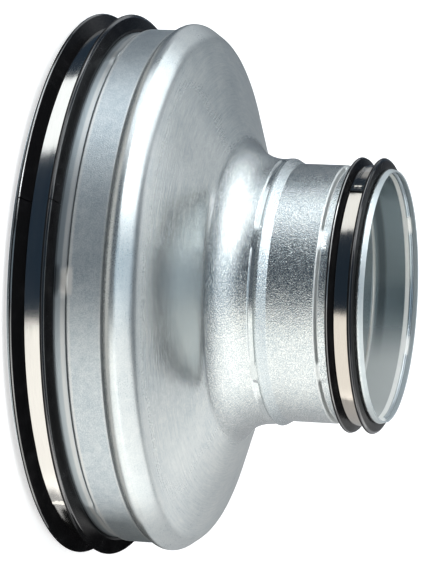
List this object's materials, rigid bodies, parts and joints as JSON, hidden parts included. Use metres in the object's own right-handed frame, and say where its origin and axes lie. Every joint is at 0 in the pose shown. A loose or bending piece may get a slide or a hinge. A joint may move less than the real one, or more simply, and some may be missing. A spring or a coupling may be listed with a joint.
{
  "type": "duct reducer",
  "caption": "Concentric reducer pressed from galvanised sheet steel, with a rubber-sealed spigot at each end, that joins a large round air duct to a small one.",
  "frame": {"origin": "centre of the large end's rim plane, on which the part stands", "axes": "+Z along the duct axis towards the small end; -Y is the side that faces the picture's camera"},
  "size_m": [0.2104, 0.2104, 0.1207],
  "materials": {
    "galvanised_steel": "galvanised, fine spangle",
    "gasket_rubber": "smooth moulded rubber",
    "strap_steel": "bright rolled strip"
  },
  "bodies": {
    "root": {"reducer_body": "galvanised_steel", "large_gasket": "gasket_rubber", "large_strap": "strap_steel", "small_gasket": "gasket_rubber", "small_strap": "strap_steel"}
  },
  "joints": []
}
